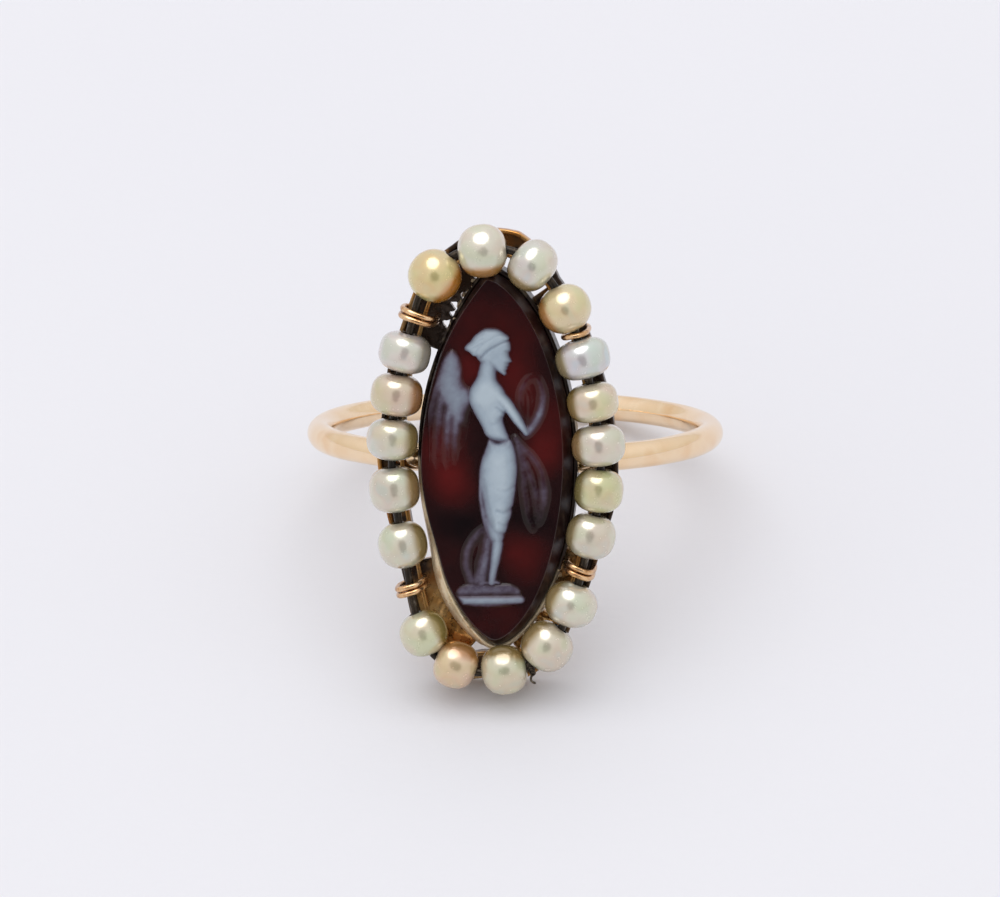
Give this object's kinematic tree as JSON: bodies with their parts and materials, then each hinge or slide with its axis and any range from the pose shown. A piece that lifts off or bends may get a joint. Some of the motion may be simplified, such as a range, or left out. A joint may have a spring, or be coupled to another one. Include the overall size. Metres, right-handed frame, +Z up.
{
  "type": "cameo ring",
  "caption": "Finger ring lying on its side: plain wire shank, long open head, navette cameo of a standing draped figure, and a border of strung pearls.",
  "frame": {"origin": "centre of the outer box on the surface that the ring lies on", "axes": "+Z up; the cameo faces -Y and leans back; +X to the right as seen from the front"},
  "size_m": [0.0194, 0.023, 0.0195],
  "materials": {
    "gold": "polished pale rose gold, darker in the rail",
    "binding_gold": "drawn rose gold wire",
    "dark_wire": "oxidised wire",
    "dark_agate": "polished, nearly black red",
    "white_agate": "carved bluish white layer, satin",
    "pearl": "nacre, white to cream"
  },
  "bodies": {
    "root": {"gold_mount": "gold", "cameo_stone": "dark_agate", "cameo_relief": "white_agate", "pearl_wire": "dark_wire", "pearl_01": "pearl", "pearl_02": "pearl", "pearl_03": "pearl", "pearl_04": "pearl", "pearl_05": "pearl", "pearl_06": "pearl", "pearl_07": "pearl", "pearl_08": "pearl", "pearl_09": "pearl", "pearl_10": "pearl", "pearl_11": "pearl", "pearl_12": "pearl", "pearl_13": "pearl", "pearl_14": "pearl", "pearl_15": "pearl", "pearl_16": "pearl", "pearl_17": "pearl", "pearl_18": "pearl", "pearl_19": "pearl", "binding_1": "binding_gold", "binding_2": "binding_gold", "binding_3": "binding_gold", "binding_4": "binding_gold"}
  },
  "joints": []
}
